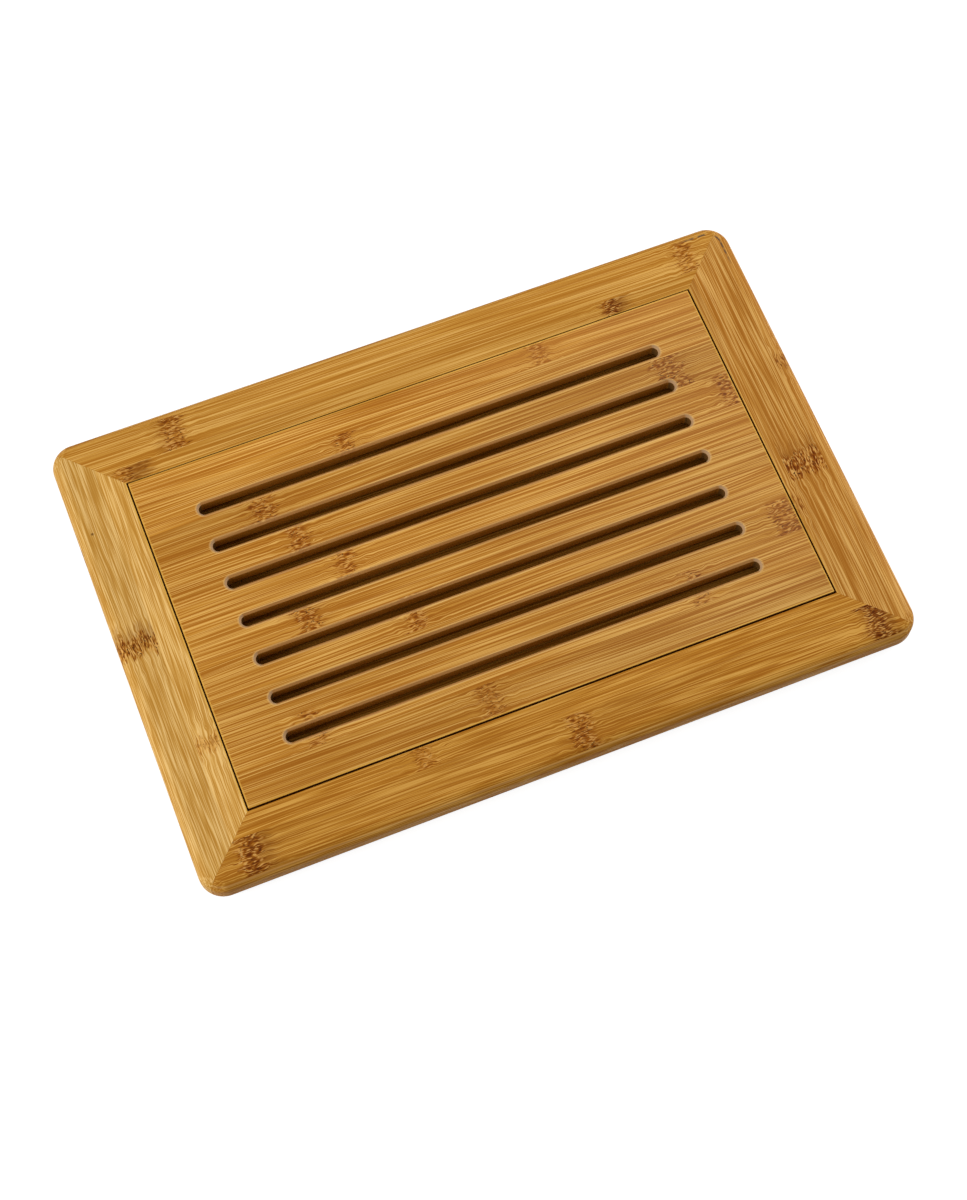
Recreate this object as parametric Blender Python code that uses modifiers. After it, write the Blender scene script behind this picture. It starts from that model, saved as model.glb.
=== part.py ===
"""Bamboo bread board: a mitred frame that holds a lift-out slotted board over a crumb tray.

Metres, +Z up. The origin is the centre of the underside, and X runs along the board's length.
"""

import math

import bmesh
import bpy

# Whole board
board_length = 0.420
board_width = 0.280
board_thickness = 0.020
corner_radius = 0.014
edge_radius = 0.007
corner_steps = 12
edge_steps = 8
round_profile = 0.5
smooth_angle = math.radians(35)

# Frame rails: the face seen from above, then the ledge and the groove on the inner side
rail_width = 0.0365
ledge_width = 0.008
lip_thickness = 0.002
groove_depth = 0.006
recess_ease = 0.0004

# Base panel, the floor of the crumb tray
panel_thickness = 0.003

# Slotted board that the bread lies on
slotted_thickness = 0.010
slotted_ease = 0.0005
ease_steps = 2
slot_count = 7
slot_width = 0.0065
slot_chamfer = 0.0013
slot_end_steps = 16

# Bare wood beyond the slots: past their ends, and outside the middle of the outermost two
slot_end_margin = 0.032
slot_side_margin = 0.03035

# Loose tongue glued across each mitre
key_length = 0.028
key_width = 0.014
key_thickness = 0.003
key_end_steps = 10

# Clearances
seat_gap = 0.0003
glue_gap = 0.0003
side_gap = 0.0008
front_gap = 0.0010
back_gap = 0.0004

# How far every cutter runs past the face that it opens
overrun = 0.003

# What follows from the sizes above
ledge_top = board_thickness - slotted_thickness - seat_gap
recess_length = board_length - 2 * rail_width
recess_width = board_width - 2 * rail_width
well_length = recess_length - 2 * ledge_width
well_width = recess_width - 2 * ledge_width
groove_height = panel_thickness + 2 * seat_gap
panel_reach = 2 * (groove_depth - seat_gap)
slotted_length = recess_length - 2 * side_gap
slotted_width = recess_width - front_gap - back_gap
slot_length = slotted_length - 2 * slot_end_margin
slot_pitch = (slotted_width - 2 * slot_side_margin) / (slot_count - 1)

# Bamboo colours, linear red, green and blue
light_bamboo = (0.62, 0.35, 0.09)
golden_bamboo = (0.51, 0.23, 0.04)
tan_bamboo = (0.50, 0.25, 0.06)
brown_bamboo = (0.42, 0.175, 0.025)
bamboo_roughness = 0.5


def clear_scene():
    for obj in list(bpy.data.objects):
        bpy.data.objects.remove(obj, do_unlink=True)


def new_collection(name):
    collection = bpy.data.collections.new(name)
    bpy.context.scene.collection.children.link(collection)
    return collection


def bamboo_material(name, colour):
    material = bpy.data.materials.new(name)
    material.use_nodes = True
    shader = material.node_tree.nodes["Principled BSDF"]
    shader.inputs["Base Color"].default_value = (*colour, 1)
    shader.inputs["Roughness"].default_value = bamboo_roughness
    shader.inputs["Metallic"].default_value = 0
    material.diffuse_color = (*colour, 1)
    return material


def object_from(name, bm, collection):
    """Turns a bmesh into an object of the collection."""
    mesh = bpy.data.meshes.new(name)
    bm.to_mesh(mesh)
    bm.free()
    obj = bpy.data.objects.new(name, mesh)
    collection.objects.link(obj)
    return obj


def as_cutter(obj):
    obj.hide_render = True
    obj.display_type = "WIRE"
    return obj


def block(length, width, low, high):
    """A box, as a bmesh, centred in plan and standing between two heights."""
    bm = bmesh.new()
    bmesh.ops.create_cube(bm, size=1)
    bmesh.ops.scale(bm, verts=bm.verts, vec=(length, width, high - low))
    bmesh.ops.translate(bm, verts=bm.verts, vec=(0, 0, (low + high) / 2))
    return bm


def prism(name, outline, low, high, collection):
    """A flat outline, extruded as a filled 2D curve between two heights and made a mesh."""
    curve = bpy.data.curves.new(name, "CURVE")
    curve.dimensions = "2D"
    curve.fill_mode = "BOTH"
    curve.extrude = (high - low) / 2
    spline = curve.splines.new("POLY")
    spline.points.add(len(outline) - 1)
    for point, (x, y) in zip(spline.points, outline):
        point.co = (x, y, 0, 1)
    spline.use_cyclic_u = True
    drawn = bpy.data.objects.new(name, curve)
    drawn.location.z = (low + high) / 2
    collection.objects.link(drawn)
    bpy.context.view_layer.update()
    mesh = bpy.data.meshes.new_from_object(drawn.evaluated_get(bpy.context.evaluated_depsgraph_get()))
    bm = bmesh.new()
    bm.from_mesh(mesh)
    bpy.data.meshes.remove(mesh)
    bmesh.ops.remove_doubles(bm, verts=bm.verts, dist=overrun / 1000)
    bmesh.ops.recalc_face_normals(bm, faces=bm.faces)
    place = drawn.matrix_world.copy()
    bpy.data.objects.remove(drawn)
    bpy.data.curves.remove(curve)
    solid = object_from(name, bm, collection)
    solid.matrix_world = place
    return solid


def loft(name, outline, levels, collection):
    """A solid through the same outline grown by a given amount at each height."""
    bm = bmesh.new()
    rings = []
    for height, growth in levels:
        points = [bm.verts.new((x, y, height)) for x, y in outline(growth)]
        rings.append([bm.edges.new(pair) for pair in zip(points, points[1:] + points[:1])])
    for lower, upper in zip(rings, rings[1:]):
        bmesh.ops.bridge_loops(bm, edges=lower + upper)
    bmesh.ops.holes_fill(bm, edges=rings[0] + rings[-1])
    bmesh.ops.recalc_face_normals(bm, faces=bm.faces)
    return object_from(name, bm, collection)


def round_ended(length, width, steps, growth=0):
    """The outline of a slot: two straight sides and two half-round ends."""
    radius = width / 2 + growth
    reach = (length - width) / 2
    outline = []
    for side, start in ((1, -math.pi / 2), (-1, math.pi / 2)):
        for step in range(steps + 1):
            turn = start + math.pi * step / steps
            outline.append((side * reach + radius * math.cos(turn), radius * math.sin(turn)))
    return outline


def boolean(obj, cutter, operation="DIFFERENCE"):
    modifier = obj.modifiers.new(cutter.name, "BOOLEAN")
    modifier.operation = operation
    modifier.solver = "EXACT"
    modifier.object = cutter


def smooth_round_faces(obj):
    obj.data.shade_smooth()
    obj.data.set_sharp_from_angle(angle=smooth_angle)


def round_edges(bm, edges, radius, steps):
    bmesh.ops.bevel(
        bm, geom=edges, offset=radius, segments=steps, affect="EDGES", profile=round_profile
    )


def frame_blank(name, collection):
    """The whole block that the frame is cut from: rounded corners, then rounded long edges."""
    bm = block(board_length, board_width, 0, board_thickness)
    upright = [edge for edge in bm.edges if edge.verts[0].co.xy == edge.verts[1].co.xy]
    round_edges(bm, upright, corner_radius, corner_steps)
    rims = [edge for edge in bm.edges if edge.verts[0].co.z == edge.verts[1].co.z]
    round_edges(bm, rims, edge_radius, edge_steps)
    return object_from(name, bm, collection)


def recess_cutter(collection):
    """The shallow recess that the slotted board drops into, its rim slightly eased."""

    def outline(growth):
        x = recess_length / 2 + growth
        y = recess_width / 2 + growth
        return [(x, y), (-x, y), (-x, -y), (x, -y)]

    levels = (
        (ledge_top, 0),
        (board_thickness - recess_ease, 0),
        (board_thickness + overrun, recess_ease + overrun),
    )
    return as_cutter(loft("recess_cutter", outline, levels, collection))


def well_cutter(collection):
    """The hollow inside the ledge, which the base panel closes to make the crumb tray."""
    bm = block(well_length, well_width, -overrun, ledge_top + overrun)
    return as_cutter(object_from("well_cutter", bm, collection))


def groove_cutter(collection):
    """The groove round the well that the base panel is trapped in."""
    length = well_length + 2 * groove_depth
    width = well_width + 2 * groove_depth
    bm = block(length, width, lip_thickness, lip_thickness + groove_height)
    return as_cutter(object_from("groove_cutter", bm, collection))


def mitre_wedge(name, half_length, half_width, turn, collection):
    """The plan shape of one rail: a long trapezium whose ends are the 45 degree mitres."""
    depth = rail_width + ledge_width + overrun
    setback = glue_gap / math.sqrt(2)
    outer = half_length + overrun - setback
    inner = half_length - depth - setback
    outline = [
        (-outer, half_width + overrun),
        (-inner, half_width - depth),
        (inner, half_width - depth),
        (outer, half_width + overrun),
    ]
    wedge = prism(name, outline, -overrun, board_thickness + overrun, collection)
    wedge.rotation_euler.z = turn
    return as_cutter(wedge)


def key_outline(growth=0):
    return round_ended(key_length, key_width, key_end_steps, growth)


def key_place(side_x, side_y):
    """Where a corner key's middle lies, and how far it is turned to run along its mitre."""
    x = side_x * (board_length - rail_width) / 2
    y = side_y * (board_width - rail_width) / 2
    return (x, y, board_thickness / 2), side_x * side_y * math.pi / 4


def corner_key(name, side_x, side_y, material, parts):
    half = key_thickness / 2
    key = prism(name, key_outline(), -half, half, parts)
    key.location, key.rotation_euler.z = key_place(side_x, side_y)
    key.data.materials.append(material)
    smooth_round_faces(key)
    return key


def key_pocket(name, side_x, side_y, cutters):
    """The slot that a corner key is glued into, half of it in each of the two rails."""
    half = key_thickness / 2 + glue_gap
    pocket = prism(name, key_outline(glue_gap), -half, half, cutters)
    pocket.location, pocket.rotation_euler.z = key_place(side_x, side_y)
    return as_cutter(pocket)


def rail(name, wedge, hollows, pockets, material, parts):
    """One rail of the frame: the hollows and the key pockets cut from it, its ends mitred."""
    obj = frame_blank(name, parts)
    obj.data.materials.append(material)
    for cutter in hollows:
        boolean(obj, cutter)
    boolean(obj, wedge, "INTERSECT")
    for cutter in pockets:
        boolean(obj, cutter)
    smooth_round_faces(obj)
    return obj


def base_panel(material, parts):
    """The thin panel held in the rails' groove."""
    bm = block(well_length + panel_reach, well_width + panel_reach, 0, panel_thickness)
    obj = object_from("base_panel", bm, parts)
    obj.location.z = lip_thickness + seat_gap
    obj.data.materials.append(material)
    return obj


def slot_cutter(number, cutters):
    """One slot of the slotted board, chamfered where it meets the upper and the lower face."""

    def outline(growth):
        return round_ended(slot_length, slot_width, slot_end_steps, growth)

    flare = slot_chamfer + overrun
    levels = (
        (-overrun, flare),
        (slot_chamfer, 0),
        (slotted_thickness - slot_chamfer, 0),
        (slotted_thickness + overrun, flare),
    )
    cutter = as_cutter(loft(f"slot_cutter_{number + 1}", outline, levels, cutters))
    cutter.location.y = (number - (slot_count - 1) / 2) * slot_pitch
    smooth_round_faces(cutter)
    return cutter


def slotted_board(material, parts, cutters):
    """The board that lifts out: eased all round, with its row of round-ended slots."""
    blank = block(slotted_length, slotted_width, 0, slotted_thickness)
    obj = object_from("slotted_board", blank, parts)
    obj.data.materials.append(material)
    obj.location = (0, (front_gap - back_gap) / 2, board_thickness - slotted_thickness)
    ease = obj.modifiers.new("eased_edges", "BEVEL")
    ease.width = slotted_ease
    ease.segments = ease_steps
    ease.limit_method = "ANGLE"
    for number in range(slot_count):
        cutter = slot_cutter(number, cutters)
        cutter.parent = obj
        boolean(obj, cutter)
    return obj


def build():
    clear_scene()
    parts = new_collection("bread_board")
    cutters = new_collection("cutters")
    hollows = [recess_cutter(cutters), well_cutter(cutters), groove_cutter(cutters)]

    corners = {
        "back_left": (-1, 1),
        "back_right": (1, 1),
        "front_left": (-1, -1),
        "front_right": (1, -1),
    }
    frame = bpy.data.objects.new("frame", None)
    parts.objects.link(frame)
    pockets = {}
    for corner, sides in corners.items():
        material = bamboo_material(f"key_bamboo_{corner}", golden_bamboo)
        corner_key(f"corner_key_{corner}", *sides, material, parts).parent = frame
        pockets[corner] = key_pocket(f"key_pocket_{corner}", *sides, cutters)

    half_length = board_length / 2
    half_width = board_width / 2
    quarter_turn = math.pi / 2
    rails = (
        ("back_rail", half_length, half_width, 0, golden_bamboo),
        ("left_stile", half_width, half_length, quarter_turn, light_bamboo),
        ("front_rail", half_length, half_width, 2 * quarter_turn, brown_bamboo),
        ("right_stile", half_width, half_length, 3 * quarter_turn, tan_bamboo),
    )
    for name, run, reach, turn, colour in rails:
        wedge = mitre_wedge(f"{name}_wedge", run, reach, turn, cutters)
        side = name.split("_")[0]
        own_pockets = [pocket for corner, pocket in pockets.items() if side in corner]
        material = bamboo_material(f"{name}_bamboo", colour)
        rail(name, wedge, hollows, own_pockets, material, parts).parent = frame

    base_panel(bamboo_material("panel_bamboo", golden_bamboo), parts).parent = frame
    slotted_board(bamboo_material("slotted_bamboo", golden_bamboo), parts, cutters)


build()
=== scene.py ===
# %% [markdown]
# This lesson dresses a bamboo bread board: a mitred frame of four rails, with a slotted board
# lying loose inside it over a crumb tray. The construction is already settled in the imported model,
# so it is loaded first and nothing of it is moved. Each piece that shows is then remade with a
# finer mesh in the same place, or keeps its mesh and gets a better finish.

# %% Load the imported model
import math
from typing import NamedTuple

import bmesh
import bpy
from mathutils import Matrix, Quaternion, Vector


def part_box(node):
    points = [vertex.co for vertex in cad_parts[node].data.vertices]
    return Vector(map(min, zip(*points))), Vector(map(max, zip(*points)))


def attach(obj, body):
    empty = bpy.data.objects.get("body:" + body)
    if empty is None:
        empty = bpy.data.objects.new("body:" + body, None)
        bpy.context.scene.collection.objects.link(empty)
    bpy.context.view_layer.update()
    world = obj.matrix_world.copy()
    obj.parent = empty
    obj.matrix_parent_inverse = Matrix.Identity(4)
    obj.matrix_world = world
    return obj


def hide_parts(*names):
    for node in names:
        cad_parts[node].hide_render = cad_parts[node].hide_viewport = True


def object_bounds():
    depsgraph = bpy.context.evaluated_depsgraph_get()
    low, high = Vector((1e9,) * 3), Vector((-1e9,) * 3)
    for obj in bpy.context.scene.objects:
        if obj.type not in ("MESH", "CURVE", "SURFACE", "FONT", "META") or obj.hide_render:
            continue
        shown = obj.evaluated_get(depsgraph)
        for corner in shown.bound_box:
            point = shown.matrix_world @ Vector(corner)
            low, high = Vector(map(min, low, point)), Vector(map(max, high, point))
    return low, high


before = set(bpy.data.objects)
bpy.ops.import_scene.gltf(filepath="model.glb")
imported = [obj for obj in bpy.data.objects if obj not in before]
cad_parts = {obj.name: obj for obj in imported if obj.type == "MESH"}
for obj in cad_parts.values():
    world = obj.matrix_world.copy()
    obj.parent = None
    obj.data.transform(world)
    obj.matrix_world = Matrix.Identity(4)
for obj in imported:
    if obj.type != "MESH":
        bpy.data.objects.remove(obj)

cad_low, cad_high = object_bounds()
mm_per_m = 1000
print("packed box, mm:", [round(mm_per_m * side, 1) for side in cad_high - cad_low])

# %% [markdown]
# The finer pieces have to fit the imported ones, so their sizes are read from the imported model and
# only what its boxes can't tell is written again: the roundings, the ledge and the slots.

# %% Sizes
half_length = cad_high.x
half_width = cad_high.y
thickness = cad_high.z
slotted_low, slotted_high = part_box("slotted_board")
panel_low, panel_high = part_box("base_panel")
well_half_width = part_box("back_rail")[0].y

seat_gap = 0.0003
ledge_width = 0.008
rail_width = half_width - well_half_width - ledge_width
ledge_top = slotted_low.z - seat_gap
groove_low = panel_low.z - seat_gap
groove_high = panel_high.z + seat_gap
groove_depth = panel_high.y + seat_gap - well_half_width

corner_radius = 0.014
edge_radius = 0.007
recess_ease = 0.0004
mitre_gap = 0.00003

slot_count = 7
slot_width = 0.0065
slot_chamfer = 0.0013
slot_arris = 0.0004
slot_end_margin = 0.032
slot_side_margin = 0.03035
slotted_ease = 0.0005
overrun = 0.003

slotted_size = slotted_high - slotted_low
slotted_middle = (slotted_high + slotted_low) / 2
slot_length = slotted_size.x - 2 * slot_end_margin
slot_pitch = (slotted_size.y - 2 * slot_side_margin) / (slot_count - 1)
first_slot = slotted_middle.y - slot_pitch * (slot_count - 1) / 2
print("rail width, mm:", round(mm_per_m * rail_width, 2))
print("slot pitch, mm:", round(mm_per_m * slot_pitch, 3))

# %% [markdown]
# The board is seen from above its front left corner. The view is a long lens from over a metre
# away, so the far edge is only a little shorter than the near one. A camera is easiest to read as
# a point that it looks at, a distance, two angles and a slight roll.

# %% The camera
look_at = Vector((-0.01135, -0.03619, thickness))
camera_distance = 1.2657
camera_azimuth = math.radians(-23.03)
camera_elevation = math.radians(67.93)
camera_roll = math.radians(1.57)
camera_lens = 68.43
camera_sensor = 36

towards_camera = Vector((
    math.sin(camera_azimuth) * math.cos(camera_elevation),
    -math.cos(camera_azimuth) * math.cos(camera_elevation),
    math.sin(camera_elevation),
))
camera_data = bpy.data.cameras.new("camera")
camera_data.sensor_width = camera_sensor
camera_data.lens = camera_lens
camera = bpy.data.objects.new("camera", camera_data)
bpy.context.scene.collection.objects.link(camera)
camera.location = look_at + towards_camera * camera_distance
camera.rotation_mode = "QUATERNION"
aim = (-towards_camera).to_track_quat("-Z", "Y")
camera.rotation_quaternion = aim @ Quaternion((0, 0, 1), camera_roll)
bpy.context.scene.camera = camera
bpy.context.scene.view_settings.view_transform = "Standard"
print("camera at, m:", [round(place, 3) for place in camera.location])

# %% [markdown]
# Wood is mostly a sum of masks, so the shader maths is written as plain Python sums. A Value wraps
# a socket, and each operator adds the Math node that it stands for. Every other node comes from
# one method, which takes the node's type, its settings and the values or links of its sockets.
# The Mix node has a set of sockets for each kind of data, so those for colours go by number.

# %% Sums of shader sockets
mix_share = 0
mix_first_colour = 6
mix_second_colour = 7
mix_colour_out = 2


class Value:
    """A number that varies over a surface, usable in Python sums."""

    def __init__(self, finish, socket):
        self.finish = finish
        self.socket = socket

    def __add__(self, other):
        return self.finish.math("ADD", self, other)

    def __sub__(self, other):
        return self.finish.math("SUBTRACT", self, other)

    def __rsub__(self, other):
        return self.finish.math("SUBTRACT", other, self)

    def __mul__(self, other):
        return self.finish.math("MULTIPLY", self, other)

    def __truediv__(self, other):
        return self.finish.math("DIVIDE", self, other)

    def __abs__(self):
        return self.finish.math("ABSOLUTE", self)

    __radd__ = __add__
    __rmul__ = __mul__


class Finish:
    """The nodes of one material or world, and the ways to add more."""

    def __init__(self, tree):
        self.tree = tree
        self.tree.nodes.clear()

    def node(self, kind, settings=None, sockets=None):
        made = self.tree.nodes.new(kind)
        for name, setting in (settings or {}).items():
            setattr(made, name, setting)
        for name, value in (sockets or {}).items():
            if isinstance(value, Value):
                self.tree.links.new(value.socket, made.inputs[name])
            elif isinstance(value, bpy.types.NodeSocket):
                self.tree.links.new(value, made.inputs[name])
            else:
                made.inputs[name].default_value = value
        return made

    def math(self, operation, *values):
        made = self.node("ShaderNodeMath", {"operation": operation}, dict(enumerate(values)))
        return Value(self, made.outputs[0])

    def smaller(self, *values):
        return self.math("MINIMUM", *values)

    def larger(self, *values):
        return self.math("MAXIMUM", *values)

    def same(self, value, number):
        """1 where a whole number is the one that is asked for, and 0 elsewhere."""
        return self.math("COMPARE", value, number, 0.5)

    def length(self, x, y):
        return self.math("SQRT", x * x + y * y)

    def rise(self, value, start, end):
        """0 before start, 1 after end and smooth between. The ends may run either way."""
        settings = {"interpolation_type": "SMOOTHSTEP"}
        sockets = {"Value": value, "From Min": start, "From Max": end}
        made = self.node("ShaderNodeMapRange", settings, sockets)
        return Value(self, made.outputs["Result"])

    def noise(self, x, y, z):
        """Soft noise about 0. Dividing a coordinate by a length gives blotches of that length."""
        point = self.node("ShaderNodeCombineXYZ", None, {"X": x, "Y": y, "Z": z})
        sockets = {"Vector": point.outputs["Vector"], "Scale": 1.0, "Detail": 0.0}
        made = self.node("ShaderNodeTexNoise", {"noise_dimensions": "3D"}, sockets)
        return Value(self, made.outputs["Fac"]) - 0.5

    def chance(self, seed):
        """A number between -0.5 and 0.5 that depends on the seed alone."""
        made = self.node("ShaderNodeTexWhiteNoise", {"noise_dimensions": "1D"}, {"W": seed})
        return Value(self, made.outputs["Value"]) - 0.5

    def blend(self, first, second, share, way="MIX"):
        """Two colours mixed. Each is a colour socket or three numbers."""
        settings = {"data_type": "RGBA", "blend_type": way}
        made = self.node("ShaderNodeMix", settings, {mix_share: share})
        for number, colour in ((mix_first_colour, first), (mix_second_colour, second)):
            if isinstance(colour, bpy.types.NodeSocket):
                self.tree.links.new(colour, made.inputs[number])
            else:
                made.inputs[number].default_value = (*colour, 1)
        return made.outputs[mix_colour_out]


def new_material(name):
    material = bpy.data.materials.new(name)
    material.use_nodes = True
    return material, Finish(material.node_tree)


# %% [markdown]
# The board lies on a plain white floor under soft light. Two lamps stand low at its ends, so the
# roundings at the left and right shine while the front one stays darker, and one hangs above.
# Lamps and world together give about as much light as makes a colour render the way it is
# written. The floor looks white because it also glows, but for camera, glossy and transmission
# rays alone, so its glow lights nothing and the floor still takes the board's shadow.

# %% Light and floor
world_strength = 0.42
floor_reach = 3.0
floor_drop = 0.0002
floor_colour = (0.3, 0.3, 0.3)
floor_glow = 0.88


def seen_directly(finish):
    """1 for the rays that show a surface itself, straight on, mirrored or through glass."""
    rays = finish.node("ShaderNodeLightPath").outputs
    camera_ray = Value(finish, rays["Is Camera Ray"])
    glossy_ray = Value(finish, rays["Is Glossy Ray"])
    through_ray = Value(finish, rays["Is Transmission Ray"])
    return finish.smaller(camera_ray + glossy_ray + through_ray, 1.0)


def white_world():
    world = bpy.data.worlds.new("studio")
    world.use_nodes = True
    finish = Finish(world.node_tree)
    strength = seen_directly(finish) * (1 - world_strength) + world_strength
    background = finish.node(
        "ShaderNodeBackground", None, {"Color": (1, 1, 1, 1), "Strength": strength}
    )
    finish.node("ShaderNodeOutputWorld", None, {"Surface": background.outputs[0]})
    bpy.context.scene.world = world


def floor_finish():
    material, finish = new_material("floor")
    matt = finish.node("ShaderNodeBsdfDiffuse", None, {"Color": (*floor_colour, 1)})
    glow = finish.node(
        "ShaderNodeEmission", None, {"Strength": seen_directly(finish) * floor_glow}
    )
    both = finish.node("ShaderNodeAddShader", None, {0: matt.outputs[0], 1: glow.outputs[0]})
    finish.node("ShaderNodeOutputMaterial", None, {"Surface": both.outputs[0]})
    return material


def floor():
    bm = bmesh.new()
    bmesh.ops.create_grid(bm, x_segments=1, y_segments=1, size=floor_reach)
    bmesh.ops.translate(bm, verts=bm.verts, vec=(0, 0, -floor_drop))
    mesh = bpy.data.meshes.new("floor")
    bm.to_mesh(mesh)
    bm.free()
    mesh.materials.append(floor_finish())
    made = bpy.data.objects.new("floor", mesh)
    bpy.context.scene.collection.objects.link(made)


def softbox(name, place, size, power):
    """A square lamp that faces the middle of the board."""
    lamp = bpy.data.lights.new(name, "AREA")
    lamp.size = size
    lamp.energy = power
    made = bpy.data.objects.new(name, lamp)
    made.location = place
    made.rotation_mode = "QUATERNION"
    made.rotation_quaternion = (-Vector(place)).to_track_quat("-Z", "Y")
    bpy.context.scene.collection.objects.link(made)


white_world()
floor()
softbox("high_softbox", place=(0.35, 0.50, 1.25), size=0.8, power=4.5)
softbox("left_softbox", place=(-1.25, -0.05, 0.48), size=0.6, power=11)
softbox("right_softbox", place=(1.25, 0.15, 0.50), size=0.6, power=8)
print("world strength:", world_strength)

# %% [markdown]
# Flat-pressed bamboo is glued from strips about 21 mm wide. Each strip is a slice of the stalk's
# wall: it has long straight fibres, its own tone, and here and there a knuckle where the stalk
# had a joint. At a knuckle the fibres break up into short dashes and dark pits. On the real board
# you can count the strips and the knuckles, so each board below is described by them.


# %% How a piece of bamboo board is described
class Knuckle(NamedTuple):
    """One knuckle. Place, half its spread and the lean of its stain are in millimetres."""

    strip: int
    place: float
    spread: float
    strength: float
    stain: float = 0.2
    lean: float = 0.0


class Stock(NamedTuple):
    """One bamboo board. Lengths are in millimetres, and fibre scales how long its fibres run."""

    runs_along: str
    seam: float
    strip_width: float
    pale: tuple
    middle: tuple
    dark: tuple
    fibre: float
    tones: dict
    knuckles: tuple
    seed: float


layer_thickness = 5.2
layer_start = 0.3
layer_shift = 61
wood_shine = 0.05
ember_tint = (0.86, 0.66, 0.32)
dash_tint = (0.46, 0.29, 0.14)
stain_tint = (0.48, 0.36, 0.30)
dash_pale = (0.74, 0.42, 0.12)
pit_brown = (0.06, 0.018, 0.003)

# %% [markdown]
# The fibres are noise that is stretched a hundredfold along the strip. Four sizes are summed, from
# broad bands to hairlines, and the peaks of one more noise are the thin dark streaks where sap
# ran. The noise is three-dimensional, so on a rounded edge it is cut at a slant and gives the
# curved lines that real wood shows there. A knuckle is a ragged band across one strip, and its
# ends follow single fibres, which is what makes it look grown and not printed. Widths, lengths
# and depths are in millimetres, and each fibre layer is a width, a length and a weight.

# %% The fibres and the knuckles
fibre_layers = ((4.0, 300, 0.25), (1.7, 170, 0.5), (0.85, 110, 1.1), (0.42, 70, 3.2))
streak_width = 0.48
streak_length = 90
streak_seed = 5
ragged_width = 3.2
ragged_depth = 9
fibre_end_width = 0.7
fibre_end_length = 9
fibre_end_depth = 10
heart_fade = 1.5
stain_core = 3
stain_reach = 7
stain_raggedness = 1.4
bend_core = 6
bend_reach = 30


def strip_coordinates(finish, stock, x, y, z):
    """Millimetres along and across the fibres, and the number of the strip and of the layer."""
    along, across = (x, y) if stock.runs_along == "x" else (y, x)
    strip = finish.math("FLOOR", (across - stock.seam) / stock.strip_width)
    depth = mm_per_m * thickness + layer_start - z
    layer = finish.math("FLOOR", depth / layer_thickness)
    return along, across, strip, layer


def knuckle_masks(finish, stock, along, across, strip, layer, seed):
    """How much a point shows of a knuckle's heart, its stain and the fibres bent round it."""
    ragged = finish.noise(across / ragged_width, seed, 0) * ragged_depth
    fibre_ends = finish.noise(along / fibre_end_length, across / fibre_end_width, seed)
    fibre_ends = fibre_ends * fibre_end_depth
    heart, stain, bent = 0, 0, 0
    for knuckle in stock.knuckles:
        here = finish.same(strip, knuckle.strip)
        ahead = along - layer * layer_shift + ragged - knuckle.place
        near = abs(ahead) + fibre_ends
        spread = knuckle.spread
        inside = here * finish.rise(near, spread + heart_fade, spread - heart_fade)
        heart = finish.larger(heart, inside * knuckle.strength)
        beside = abs(ahead - knuckle.lean) + fibre_ends * stain_raggedness
        soaked = here * finish.rise(beside, spread + stain_reach, spread - stain_core)
        stain = finish.larger(stain, soaked * knuckle.stain)
        bent = finish.larger(bent, here * finish.rise(abs(ahead), bend_reach, bend_core))
    return heart, stain, bent


def fibre_grain(finish, stock, along, side, z, seed):
    """Light and dark fibres about 0, from bands of several millimetres down to hairlines."""
    grain = 0
    for width, length, weight in fibre_layers:
        line = finish.noise(along / (length * stock.fibre) + seed, side / width, z / width)
        grain = line * weight + grain
    return grain


def sap_streaks(finish, stock, along, side, z, seed):
    """Thin dark lines between 0 and 1, on about a quarter of the surface."""
    ahead = along / (streak_length * stock.fibre) + seed + streak_seed
    line = finish.noise(ahead, side / streak_width, z / streak_width)
    return finish.rise(line, 0.08, 0.18)


# %% [markdown]
# The colour starts from the fibres, and the knuckles, the stains and each strip's own tone are
# laid over it. The marks come last: a burn and a dot that happened to the board after it was
# glued, and painted highlights, sheen and shade on its edges, slots and gaps, each a small
# function of its own. Fibres are never quite straight: they slope a little, wave slowly along
# the board, and ruffle where they pass a knuckle.

# %% The bamboo finish
strip_seed_step = 7.31
layer_seed_step = 3.77
greatest_slope = 0.04
wave_width = 14
wave_length = 110
wave_depth = 2.2
ruffle_width = 2.4
ruffle_length = 6
ruffle_depth = 2.4
dash_width = 0.6
dash_length = 2.8
pit_width = 0.8
pit_length = 1.3
pit_seed = 9
patch_width = 30
patch_length = 70
patch_contrast = 0.14
full_grain = 0.55
streak_strength = 0.85
satin_roughness = 0.48
grain_polish = 0.12
knuckle_roughness = 0.10
relief_strength = 0.25
relief_height = 0.0001


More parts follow.
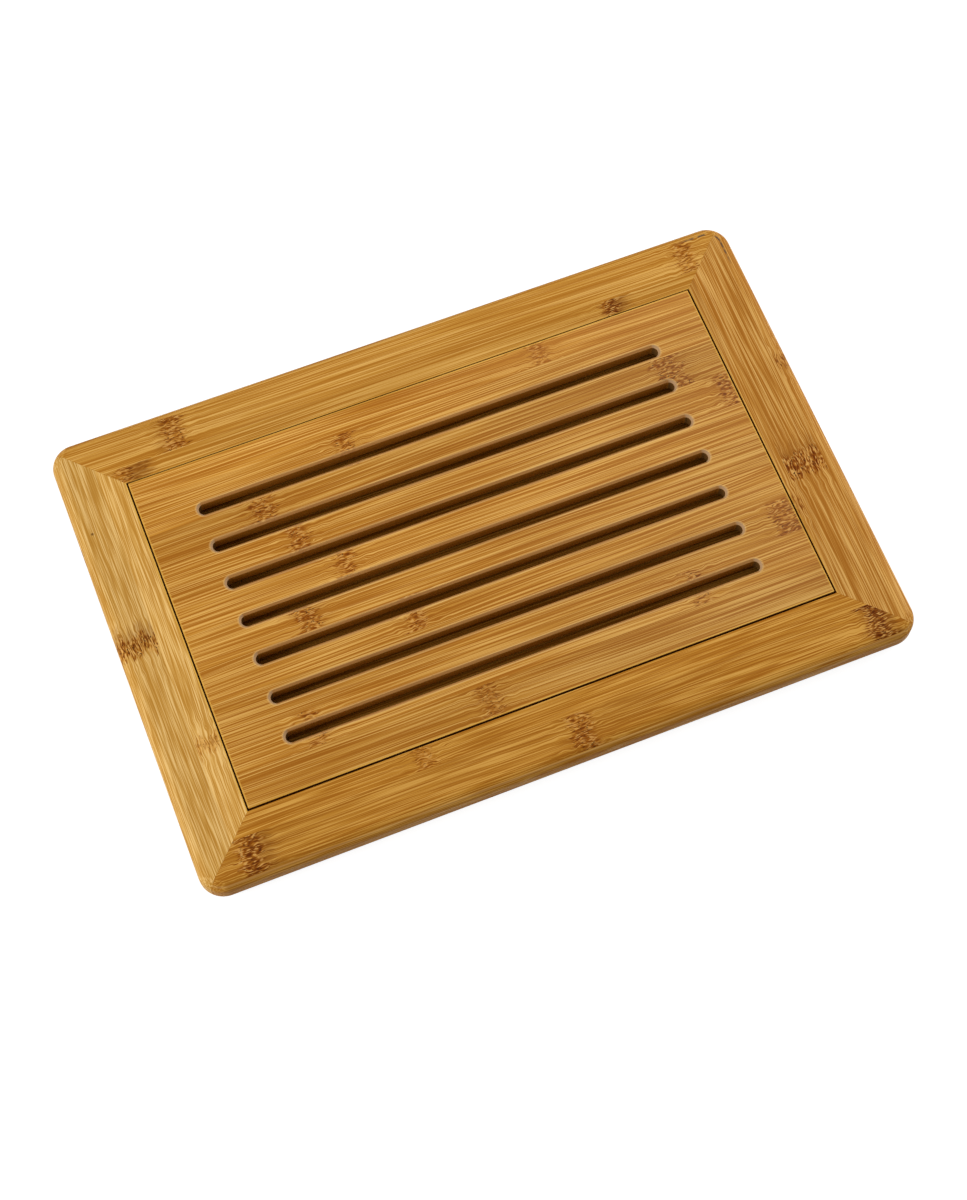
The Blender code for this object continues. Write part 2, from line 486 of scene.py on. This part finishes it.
def bamboo(name, stock, marks):
    material, finish = new_material(name)
    place = finish.node("ShaderNodeTexCoord").outputs["Object"]
    axes = finish.node("ShaderNodeSeparateXYZ", None, {"Vector": place}).outputs
    x, y, z = (Value(finish, axis) * mm_per_m for axis in axes)
    along, across, strip, layer = strip_coordinates(finish, stock, x, y, z)
    seed = strip * strip_seed_step + layer * layer_seed_step + stock.seed
    heart, stain, bent = knuckle_masks(finish, stock, along, across, strip, layer, seed)

    slope = finish.chance(seed) * greatest_slope
    wave = finish.noise(along / wave_length, across / wave_width, seed) * wave_depth
    ruffle = finish.noise(along / ruffle_length, across / ruffle_width, seed) * ruffle_depth
    side = across + along * slope + wave + ruffle * bent
    grain = fibre_grain(finish, stock, along, side, z, seed)
    colour = finish.blend(stock.middle, stock.pale, finish.rise(grain, 0.0, full_grain))
    colour = finish.blend(colour, stock.dark, finish.rise(grain, 0.0, -full_grain))
    streaks = sap_streaks(finish, stock, along, side, z, seed)
    colour = finish.blend(colour, stock.dark, streaks * streak_strength)

    dashes = finish.noise(along / dash_length + seed, side / dash_width, z / dash_width)
    dark_dashes = heart * finish.rise(dashes, 0.06, -0.2)
    pale_dashes = heart * finish.rise(dashes, 0.06, 0.18)
    pits = finish.noise(along / pit_length, across / pit_width, seed + pit_seed)
    colour = finish.blend(colour, stain_tint, stain * (0.8 - dashes), "MULTIPLY")
    colour = finish.blend(colour, ember_tint, heart, "MULTIPLY")
    colour = finish.blend(colour, dash_tint, dark_dashes, "MULTIPLY")
    colour = finish.blend(colour, dash_pale, pale_dashes * 0.75)
    colour = finish.blend(colour, pit_brown, heart * finish.rise(pits, 0.19, 0.25))

    tone = finish.noise(along / patch_length, across / patch_width, seed) * patch_contrast + 1
    for number, brightness in stock.tones.items():
        tone = finish.same(strip, number) * (brightness - 1) + tone
    shade = finish.node("ShaderNodeCombineColor", None, {"Red": tone, "Green": tone, "Blue": tone})
    colour = finish.blend(colour, shade.outputs[0], 1.0, "MULTIPLY")
    for mark in marks:
        colour = mark(finish, colour, x, y, z)

    relief = grain * 0.5 + dashes * heart
    bump = finish.node(
        "ShaderNodeBump",
        None,
        {"Strength": relief_strength, "Distance": relief_height, "Height": relief},
    )
    shader = finish.node(
        "ShaderNodeBsdfPrincipled",
        None,
        {
            "Base Color": colour,
            "Roughness": satin_roughness - grain * grain_polish + heart * knuckle_roughness,
            "Specular IOR Level": wood_shine,
            "Normal": bump.outputs["Normal"],
        },
    )
    finish.node("ShaderNodeOutputMaterial", None, {"Surface": shader.outputs[0]})
    print(name, "has", len(stock.knuckles), "knuckles and", len(finish.tree.nodes), "nodes")
    return material


# %% [markdown]
# Walls in the slots and in the gaps beside the slotted board get painted shade, so they are
# darker than the faces, and their upper rims get a pale painted highlight. At the round ends of
# the slots the chamfers get a paler, greyer painted highlight and the walls a deeper painted
# shade. One corner of the frame also kept the thin dark line that a blunt rounding bit burns,
# and the left rail has one dark dot. Each mark is a distance in millimetres from an edge, a
# height or a place, and a rise fades it between two such distances.

# %% Marks, painted highlights and painted shade
# Painted shade for the slot walls.
slot_wall_shade = (0.35, 0.120, 0.007)
# Deeper painted shade for the walls at the slot ends.
slot_end_shade = (0.085, 0.045, 0.014)
# Painted shade for the gaps between the slotted board and the frame.
gap_shade_tint = (0.30, 0.15, 0.05)
# Painted shade with a grey painted sheen for the slot chamfers.
chamfer_shade_sheen = (0.40, 0.185, 0.058)
# Painted sheen, paler and greyer, for the right end of the slotted board.
right_sheen_grey = (0.50, 0.34, 0.20)
# Painted highlight, pale, for the slot rims and the front rounding.
highlight_pale = (0.74, 0.48, 0.19)
# Painted highlight, pale gold, for the upper rims beside the gaps.
highlight_gold = (0.74, 0.42, 0.07)
# Painted highlight, pale grey, for the chamfers at the slot ends.
slot_end_highlight = (0.50, 0.36, 0.22)
burn_grey = (0.07, 0.05, 0.04)
recess_half_length = mm_per_m * (half_length - rail_width)
recess_half_width = mm_per_m * (half_width - rail_width)
frame_top = mm_per_m * thickness
burn_inset = 6.1
# How far in from the edge the painted highlight line on the front rounding lies.
highlight_inset = 1.8
dot_x = -200.9
dot_y = 80.5


def gap_shade(finish, z):
    """Painted shade on a wall beside a gap: darkest just under its upper edge, weaker further down.
    """
    under_edge = finish.rise(z, frame_top - 0.05, frame_top - 0.3)
    return under_edge * (finish.rise(z, frame_top - 9, frame_top - 1) * 0.4 + 0.6)


def recess_highlight_and_shade(highlight_share, shade_share):
    """The inner rim of a rail: a painted highlight on top, painted shade down the wall and where the
    ledge begins.
    """

    def mark(finish, colour, x, y, z):
        outward = finish.larger(abs(x) - recess_half_length, abs(y) - recess_half_width)
        on_top = finish.rise(z, frame_top - 0.3, frame_top - 0.1)
        highlit_rim = finish.rise(outward, 1.0, 0.6) * on_top
        shaded_wall = finish.rise(outward, -1.4, -0.9) * finish.rise(outward, 0.3, 0.1)
        # Painted highlight on the inner rim of the rail.
        colour = finish.blend(colour, highlight_gold, highlit_rim * highlight_share)
        # Painted shade down the wall beside the gap.
        return finish.blend(colour, gap_shade_tint, shaded_wall * gap_shade(finish, z) * shade_share, "MULTIPLY")

    return mark


def slot_edges(finish, colour, x, y, z):
    """The chamfers and walls of the slots, and the rim and sides of the slotted board, with painted
    shade, sheen and highlights on them.
    """
    from_first = y - mm_per_m * first_slot
    pitch = mm_per_m * slot_pitch
    number = finish.math("ROUND", from_first / pitch)
    number = finish.larger(finish.smaller(number, slot_count - 1), 0)
    from_middle = from_first - number * pitch
    past_end = finish.larger(abs(x) - mm_per_m * (slot_length - slot_width) / 2, 0)
    from_wall = finish.length(past_end, from_middle) - mm_per_m * slot_width / 2
    past_right = abs(x) - mm_per_m * slotted_size.x / 2
    past_back = abs(y - mm_per_m * slotted_middle.y) - mm_per_m * slotted_size.y / 2
    past_side = finish.larger(past_right, past_back)
    top = mm_per_m * slotted_high.z
    bottom = mm_per_m * slotted_low.z
    cut = mm_per_m * slot_chamfer

    above_wall = finish.rise(z, top - cut - 0.2, top - cut)
    chamfered = finish.rise(from_wall, cut + 0.1, cut - 0.2) * above_wall
    slot_end_chamfer = chamfered * finish.rise(past_end, 0.4, 2.0)
    slot_rim = finish.rise(from_wall, cut + 1.0, cut + 0.4) * finish.rise(from_wall, cut - 0.5, cut)
    board_rim = finish.rise(past_side, -1.1, -0.6)
    on_top = finish.rise(z, top - 0.35, top - 0.1)
    above_underside = finish.rise(z, bottom + 0.3, bottom + 0.8)
    shaded_wall = finish.rise(z, top - cut - 0.05, top - cut - 0.5) * above_underside
    shaded_wall = shaded_wall * finish.rise(past_side, -1.0, -1.5)
    shaded_gap = finish.rise(past_side, -0.6, -0.3) * gap_shade(finish, z)

    # Painted sheen: the board grows a little paler and greyer towards its right end.
    colour = finish.blend(colour, right_sheen_grey, finish.rise(x, -60, 170) * 0.08)
    # Painted shade with a grey painted sheen on the slot chamfers.
    colour = finish.blend(colour, chamfer_shade_sheen, chamfered * 0.8)
    # Painted highlight, paler and greyer, on the chamfers round the slot ends.
    colour = finish.blend(colour, slot_end_highlight, slot_end_chamfer * 0.5)
    # Painted highlight along the upper rims of the slots.
    colour = finish.blend(colour, highlight_pale, slot_rim * on_top * 0.35)
    # Painted highlight along the upper rim of the slotted board.
    colour = finish.blend(colour, highlight_gold, board_rim * on_top * 0.6)
    # Painted shade down the slot walls.
    colour = finish.blend(colour, slot_wall_shade, shaded_wall * 0.85)
    # Deeper painted shade down the round ends of the slots.
    colour = finish.blend(colour, slot_end_shade, shaded_wall * finish.rise(past_end, 0.3, 1.8) * 0.85)
    # Painted shade on the sides of the slotted board, in the gap.
    return finish.blend(colour, gap_shade_tint, shaded_gap * above_underside, "MULTIPLY")


def inset_from_edge(finish, x, y):
    """How far a point of the frame lies in from the outer edge, round the corners too."""
    past_x = abs(x) - mm_per_m * (half_length - corner_radius)
    past_y = abs(y) - mm_per_m * (half_width - corner_radius)
    outside = finish.length(finish.larger(past_x, 0), finish.larger(past_y, 0))
    return mm_per_m * corner_radius - outside - finish.smaller(finish.larger(past_x, past_y), 0)


def corner_burn(finish, colour, x, y, z):
    """A thin line where the rounding begins, at the back right corner only."""
    line = finish.rise(abs(inset_from_edge(finish, x, y) - burn_inset), 0.75, 0.30)
    stretch = finish.rise(x, 177, 190) * finish.rise(y, 106, 122)
    broken = finish.rise(finish.noise(x / 5, y / 5, 0), -0.16, 0.02)
    return finish.blend(colour, burn_grey, line * stretch * broken * 0.85)


def rounding_highlight(finish, colour, x, y, z):
    """A painted highlight: a pale line half-way round the upper rounding."""
    line = finish.rise(abs(inset_from_edge(finish, x, y) - highlight_inset), 0.7, 0.2)
    above = finish.rise(z, frame_top / 2, frame_top / 2 + 2)
    return finish.blend(colour, highlight_pale, line * above * 0.25)


def dark_dot(finish, colour, x, y, z):
    """One dark dot on the left rail."""
    from_dot = finish.length(x - dot_x, y - dot_y)
    return finish.blend(colour, pit_brown, finish.rise(from_dot, 1.1, 0.5) * 0.7)


# %% [markdown]
# The rails differ: the left one is pale straw, partly its own tone and partly a painted sheen,
# the back one golden, the right one greyer, and the front one the brownest. The seams and
# knuckles are placed where the real board has them.

# %% Six pieces of stock
back_stock = Stock(
    runs_along="x", seam=113.75, strip_width=21.25,
    pale=(0.70, 0.39, 0.095), middle=(0.54, 0.255, 0.036), dark=(0.41, 0.155, 0.013), fibre=1.0,
    tones={-1: 0.97, 0: 1.02, 1: 1.05},
    knuckles=(
        Knuckle(0, -138.75, 6, 0.8, 0.35, -2), Knuckle(-1, 125, 4.5, 0.95, 0.95, 4),
        Knuckle(0, 180, 5.5, 0.7, 0.15, 0), Knuckle(-1, -174, 4.5, 0.6, 0.95, 9),
    ),
    seed=3.1,
)
front_stock = Stock(
    runs_along="x", seam=-137.5, strip_width=21.25,
    pale=(0.62, 0.32, 0.062), middle=(0.475, 0.205, 0.022), dark=(0.345, 0.120, 0.008), fibre=0.5,
    tones={-1: 1.10, 1: 1.05},
    knuckles=(
        Knuckle(1, -75, 5, 0.5, 0.0), Knuckle(0, 11, 6, 0.75, 0.15, 0),
        Knuckle(0, -180, 6.5, 0.85, 0.6, 5), Knuckle(0, 187, 6, 0.85, 0.95, 2),
    ),
    seed=11.7,
)
# The left rail's pale colours are partly its own tone and partly painted sheen.
left_stock = Stock(
    runs_along="y", seam=-187.5, strip_width=22.5,
    pale=(0.78, 0.495, 0.175), middle=(0.63, 0.35, 0.083), dark=(0.48, 0.225, 0.032), fibre=0.3,
    tones={-1: 0.98, 0: 1.07},
    knuckles=(Knuckle(-1, 8, 5.5, 0.95, 0.6, 4), Knuckle(0, -60, 4.5, 0.55, 0.0)),
    seed=23.9,
)
right_stock = Stock(
    runs_along="y", seam=178.75, strip_width=22.5,
    pale=(0.65, 0.36, 0.098), middle=(0.50, 0.226, 0.038), dark=(0.36, 0.13, 0.012), fibre=0.5,
    tones={1: 1.05},
    knuckles=(
        Knuckle(0, -24, 7, 0.95, 0.35, 5), Knuckle(1, 40, 4, 0.6, 0.2), Knuckle(-1, -46, 4, 0.5),
    ),
    seed=37.3,
)
slotted_stock = Stock(
    runs_along="x", seam=-82.7, strip_width=21.43,
    pale=(0.71, 0.390, 0.094), middle=(0.53, 0.235, 0.030), dark=(0.38, 0.130, 0.010), fibre=1.0,
    tones={
        -1: 0.90, 0: 0.97, 1: 0.965, 2: 1.0, 3: 1.01,
        4: 1.05, 5: 0.99, 6: 0.93, 7: 1.035, 8: 1.09,
    },
    knuckles=(
        Knuckle(8, 75, 5, 0.55, 0.1, -3), Knuckle(7, -50, 5, 0.75, 0.1),
        Knuckle(6, -106, 7, 0.75, 0.1, -4), Knuckle(6, 142, 8, 0.8, 0.15, 5),
        Knuckle(5, -94, 5, 0.8, 0.15), Knuckle(5, 168, 5, 0.8, 0.2),
        Knuckle(4, -75, 5, 0.75, 0.1), Knuckle(3, -106, 6, 0.8, 0.25, 2),
        Knuckle(2, -50, 5, 0.75, 0.1), Knuckle(1, 165, 7, 0.75, 0.1, 2),
        Knuckle(0, -125, 4, 0.7, 0.15), Knuckle(0, 102, 4.5, 0.7, 0.15),
        Knuckle(-1, -30, 6, 0.55, 0.1, 2),
    ),
    seed=51.5,
)
# The panel's dark colours are painted shade: the tray seen through the slots lies in shadow.
shade_dark_panel_stock = slotted_stock._replace(
    pale=(0.42, 0.19, 0.026), middle=(0.29, 0.108, 0.008), dark=(0.21, 0.064, 0.002),
    tones={}, knuckles=(), seed=71.9,
)

# %% [markdown]
# A rail is one outline pushed along the frame. Its outline has the two big outer roundings, the
# softened inner rim, the ledge that the slotted board lies on, and the groove for the base panel.
# Sweeping it row by row lets the roundings follow the corner and end exactly on the 45 degree
# mitre, which a bevelled box would only do after cutting.

# %% Rails
round_steps = 14
ease_steps = 3
corner_steps = 18
sharp_angle = math.radians(32)
quarter_turn = math.pi / 2


def arc(centre, radius, start, end, steps):
    """Points on part of a circle, as distance in from the outer edge and height."""
    turns = [start + (end - start) * step / steps for step in range(steps + 1)]
    return [(centre[0] + radius * math.cos(t), centre[1] + radius * math.sin(t)) for t in turns]


def rail_profile():
    under = arc((edge_radius, edge_radius), edge_radius, 3 * quarter_turn, math.pi, round_steps)
    over_middle = (edge_radius, thickness - edge_radius)
    over = arc(over_middle, edge_radius, math.pi, quarter_turn, round_steps)
    rim_middle = (rail_width - recess_ease, thickness - recess_ease)
    rim = arc(rim_middle, recess_ease, quarter_turn, 0, ease_steps)
    well = rail_width + ledge_width
    groove = well - groove_depth
    inside = [
        (rail_width, ledge_top), (well, ledge_top), (well, groove_high), (groove, groove_high),
        (groove, groove_low), (well, groove_low), (well, 0),
    ]
    return under + over + rim + inside


def rail_station(inset, share, half_run, half_reach):
    """Where a profile point lies, from the mitre at share 0 to the straight run at share 1."""
    if inset < corner_radius:
        radius = corner_radius - inset
        angle = quarter_turn / 2 * (1 + share)
        x = half_run - corner_radius + radius * math.cos(angle)
        return x - mitre_gap, half_reach - corner_radius + radius * math.sin(angle)
    return half_run - inset - share * corner_radius - mitre_gap, half_reach - inset


def turned(x, y, quarters):
    for _ in range(quarters):
        x, y = -y, x
    return x, y


def plain_mesh(name, bm, material):
    """The bmesh as a new object in the scene, with its faces outwards."""
    bmesh.ops.recalc_face_normals(bm, faces=bm.faces)
    mesh = bpy.data.meshes.new(name)
    bm.to_mesh(mesh)
    bm.free()
    mesh.materials.append(material)
    made = bpy.data.objects.new(name, mesh)
    bpy.context.scene.collection.objects.link(made)
    return made


def settle(made):
    """Applies the live modifiers, and shades big flat faces as flat as they are."""
    depsgraph = bpy.context.evaluated_depsgraph_get()
    mesh = bpy.data.meshes.new_from_object(made.evaluated_get(depsgraph))
    mesh.shade_smooth()
    mesh.set_sharp_from_angle(angle=sharp_angle)
    made.modifiers.clear()
    made.data = mesh
    weighted = made.modifiers.new("flat_faces_stay_flat", "WEIGHTED_NORMAL")
    weighted.keep_sharp = True
    depsgraph = bpy.context.evaluated_depsgraph_get()
    made.data = bpy.data.meshes.new_from_object(made.evaluated_get(depsgraph))
    made.modifiers.clear()
    return made


def rail(node, half_run, half_reach, quarters, material):
    bm = bmesh.new()
    rows = []
    for inset, height in rail_profile():
        shares = [step / corner_steps for step in range(corner_steps + 1)]
        ends = [rail_station(inset, share, half_run, half_reach) for share in shares]
        places = [(-x, y) for x, y in ends] + list(reversed(ends))
        rows.append([bm.verts.new((*turned(x, y, quarters), height)) for x, y in places])
    for lower, upper in zip(rows, rows[1:] + rows[:1]):
        for step in range(len(lower) - 1):
            bm.faces.new((lower[step], lower[step + 1], upper[step + 1], upper[step]))
    for end in (0, -1):
        bm.faces.new([row[end] for row in rows])
    made = settle(plain_mesh(f"{node}_bamboo", bm, material))
    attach(made, "frame")
    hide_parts(node)
    print(node, "has", len(made.data.polygons), "faces")


# Each rail gets its own share of painted highlight on its inner rim and of painted shade in its gap.
back_finish = bamboo("back_rail_finish", back_stock, (recess_highlight_and_shade(0.25, 0.5), corner_burn))
left_finish = bamboo("left_stile_finish", left_stock, (recess_highlight_and_shade(0.75, 1.0), dark_dot))
front_finish = bamboo("front_rail_finish", front_stock, (recess_highlight_and_shade(0.0, 1.0), rounding_highlight))
right_finish = bamboo("right_stile_finish", right_stock, (recess_highlight_and_shade(0.45, 1.0), corner_burn))
rail("back_rail", half_length, half_width, 0, back_finish)
rail("left_stile", half_width, half_length, 1, left_finish)
rail("front_rail", half_length, half_width, 2, front_finish)
rail("right_stile", half_width, half_length, 3, right_finish)

# %% [markdown]
# The slots are cut by a router with a round bit, and a second, cone-shaped bit breaks their edges.
# So one slot is a stack of outlines: wide at the faces and narrow between. Geometry Nodes then
# repeat that one cutter in a row and take the whole row out of the board in one Boolean.

# %% One slot
slot_end_steps = 24
arris_steps = 3


def slot_outline(growth):
    radius = slot_width / 2 + growth
    reach = (slot_length - slot_width) / 2
    outline = []
    for side, start in ((1, -quarter_turn), (-1, quarter_turn)):
        for step in range(slot_end_steps + 1):
            turn = start + math.pi * step / slot_end_steps
            outline.append((side * reach + radius * math.cos(turn), radius * math.sin(turn)))
    return outline


def slot_lip():
    """How the slot opens to a face: depth under the face, and how much wider it is there."""
    eighth = quarter_turn / 2
    tangent = slot_arris * math.tan(eighth / 2)
    rim = slot_chamfer + tangent
    lip = [(-overrun, rim + slot_arris), (-slot_arris / 8, rim + slot_arris)]
    for step in range(1, arris_steps + 1):
        turn = eighth * step / arris_steps
        lip.append((slot_arris * (1 - math.cos(turn)), rim - slot_arris * math.sin(turn)))
    for step in range(arris_steps + 1):
        turn = eighth * (1 + step / arris_steps)
        depth = slot_chamfer + tangent - slot_arris * math.cos(turn)
        lip.append((depth, slot_arris * (1 - math.sin(turn))))
    return lip


def slot_cutter():
    lip = slot_lip()
    levels = [(slotted_high.z - depth, growth) for depth, growth in lip]
    levels += [(slotted_low.z + depth, growth) for depth, growth in reversed(lip)]
    bm = bmesh.new()
    rings = []
    for height, growth in levels:
        points = [bm.verts.new((x, y, height)) for x, y in slot_outline(growth)]
        rings.append([bm.edges.new(pair) for pair in zip(points, points[1:] + points[:1])])
    for upper, lower in zip(rings, rings[1:]):
        bmesh.ops.bridge_loops(bm, edges=upper + lower)
    bmesh.ops.holes_fill(bm, edges=rings[0] + rings[-1])
    return plain_mesh("one_slot", bm, slotted_finish)


slotted_finish = bamboo("slotted_board_finish", slotted_stock, (slot_edges,))
one_slot = slot_cutter()
print("one slot is", round(mm_per_m * slot_length, 1), "mm long")


# %% The row of slots, as Geometry Nodes
def slot_row_tree():
    tree = bpy.data.node_groups.new("slot_row", "GeometryNodeTree")
    inputs = (
        ("Board", "NodeSocketGeometry"),
        ("Slot", "NodeSocketObject"),
        ("Count", "NodeSocketInt"),
        ("First", "NodeSocketVector"),
        ("Step", "NodeSocketVector"),
        ("Finish", "NodeSocketMaterial"),
    )
    for name, kind in inputs:
        tree.interface.new_socket(name, in_out="INPUT", socket_type=kind)
    tree.interface.new_socket("Board", in_out="OUTPUT", socket_type="NodeSocketGeometry")
    given = tree.nodes.new("NodeGroupInput").outputs

    def add(kind, links, **settings):
        made = tree.nodes.new(kind)
        for name, setting in settings.items():
            setattr(made, name, setting)
        for name, source in links.items():
            tree.links.new(source, made.inputs[name])
        return made.outputs

    points = add(
        "GeometryNodeMeshLine",
        {"Count": given["Count"], "Start Location": given["First"], "Offset": given["Step"]},
    )[0]
    slot = add("GeometryNodeObjectInfo", {"Object": given["Slot"]})["Geometry"]
    row = add("GeometryNodeInstanceOnPoints", {"Points": points, "Instance": slot})[0]
    solid_row = add("GeometryNodeRealizeInstances", {"Geometry": row})[0]
    cut = add(
        "GeometryNodeMeshBoolean",
        {"Mesh 1": given["Board"], "Mesh 2": solid_row},
        operation="DIFFERENCE", solver="EXACT",
    )[0]
    whole = add("GeometryNodeRealizeInstances", {"Geometry": cut})[0]
    finished = add("GeometryNodeSetMaterial", {"Geometry": whole, "Material": given["Finish"]})[0]
    output = tree.nodes.new("NodeGroupOutput")
    tree.links.new(finished, output.inputs[0])
    return tree


def set_input(modifier, name, value):
    for item in modifier.node_group.interface.items_tree:
        if item.name == name and item.in_out == "INPUT":
            modifier[item.identifier] = value


def slotted_board():
    bm = bmesh.new()
    bmesh.ops.create_cube(bm, size=1)
    bmesh.ops.scale(bm, verts=bm.verts, vec=slotted_size)
    bmesh.ops.translate(bm, verts=bm.verts, vec=slotted_middle)
    bmesh.ops.bevel(
        bm, geom=bm.edges[:], offset=slotted_ease, segments=ease_steps, affect="EDGES", profile=0.5
    )
    made = plain_mesh("slotted_board_bamboo", bm, slotted_finish)
    row = made.modifiers.new("slot_row", "NODES")
    row.node_group = slot_row_tree()
    set_input(row, "Slot", one_slot)
    set_input(row, "Count", slot_count)
    set_input(row, "First", (0, first_slot, 0))
    set_input(row, "Step", (0, slot_pitch, 0))
    set_input(row, "Finish", slotted_finish)
    settle(made)
    bpy.data.objects.remove(one_slot)
    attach(made, "slotted_board")
    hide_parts("slotted_board")
    print("slotted board has", len(made.data.polygons), "faces")


slotted_board()

# %% [markdown]
# The base panel and the four corner keys are plain sawn pieces, and the imported meshes already have
# their exact shape. They keep it and only take a dark bamboo finish, whose darkness is painted
# shade for the tray seen through the slots.

# %% Panel and keys
shade_dark_panel_finish = bamboo("base_panel_painted_shade", shade_dark_panel_stock, ())
corners = ("back_left", "back_right", "front_left", "front_right")
kept_nodes = ["base_panel"] + [f"corner_key_{corner}" for corner in corners]
for node in kept_nodes:
    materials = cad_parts[node].data.materials
    materials.clear()
    materials.append(shade_dark_panel_finish)
print("packed meshes kept:", len(kept_nodes))
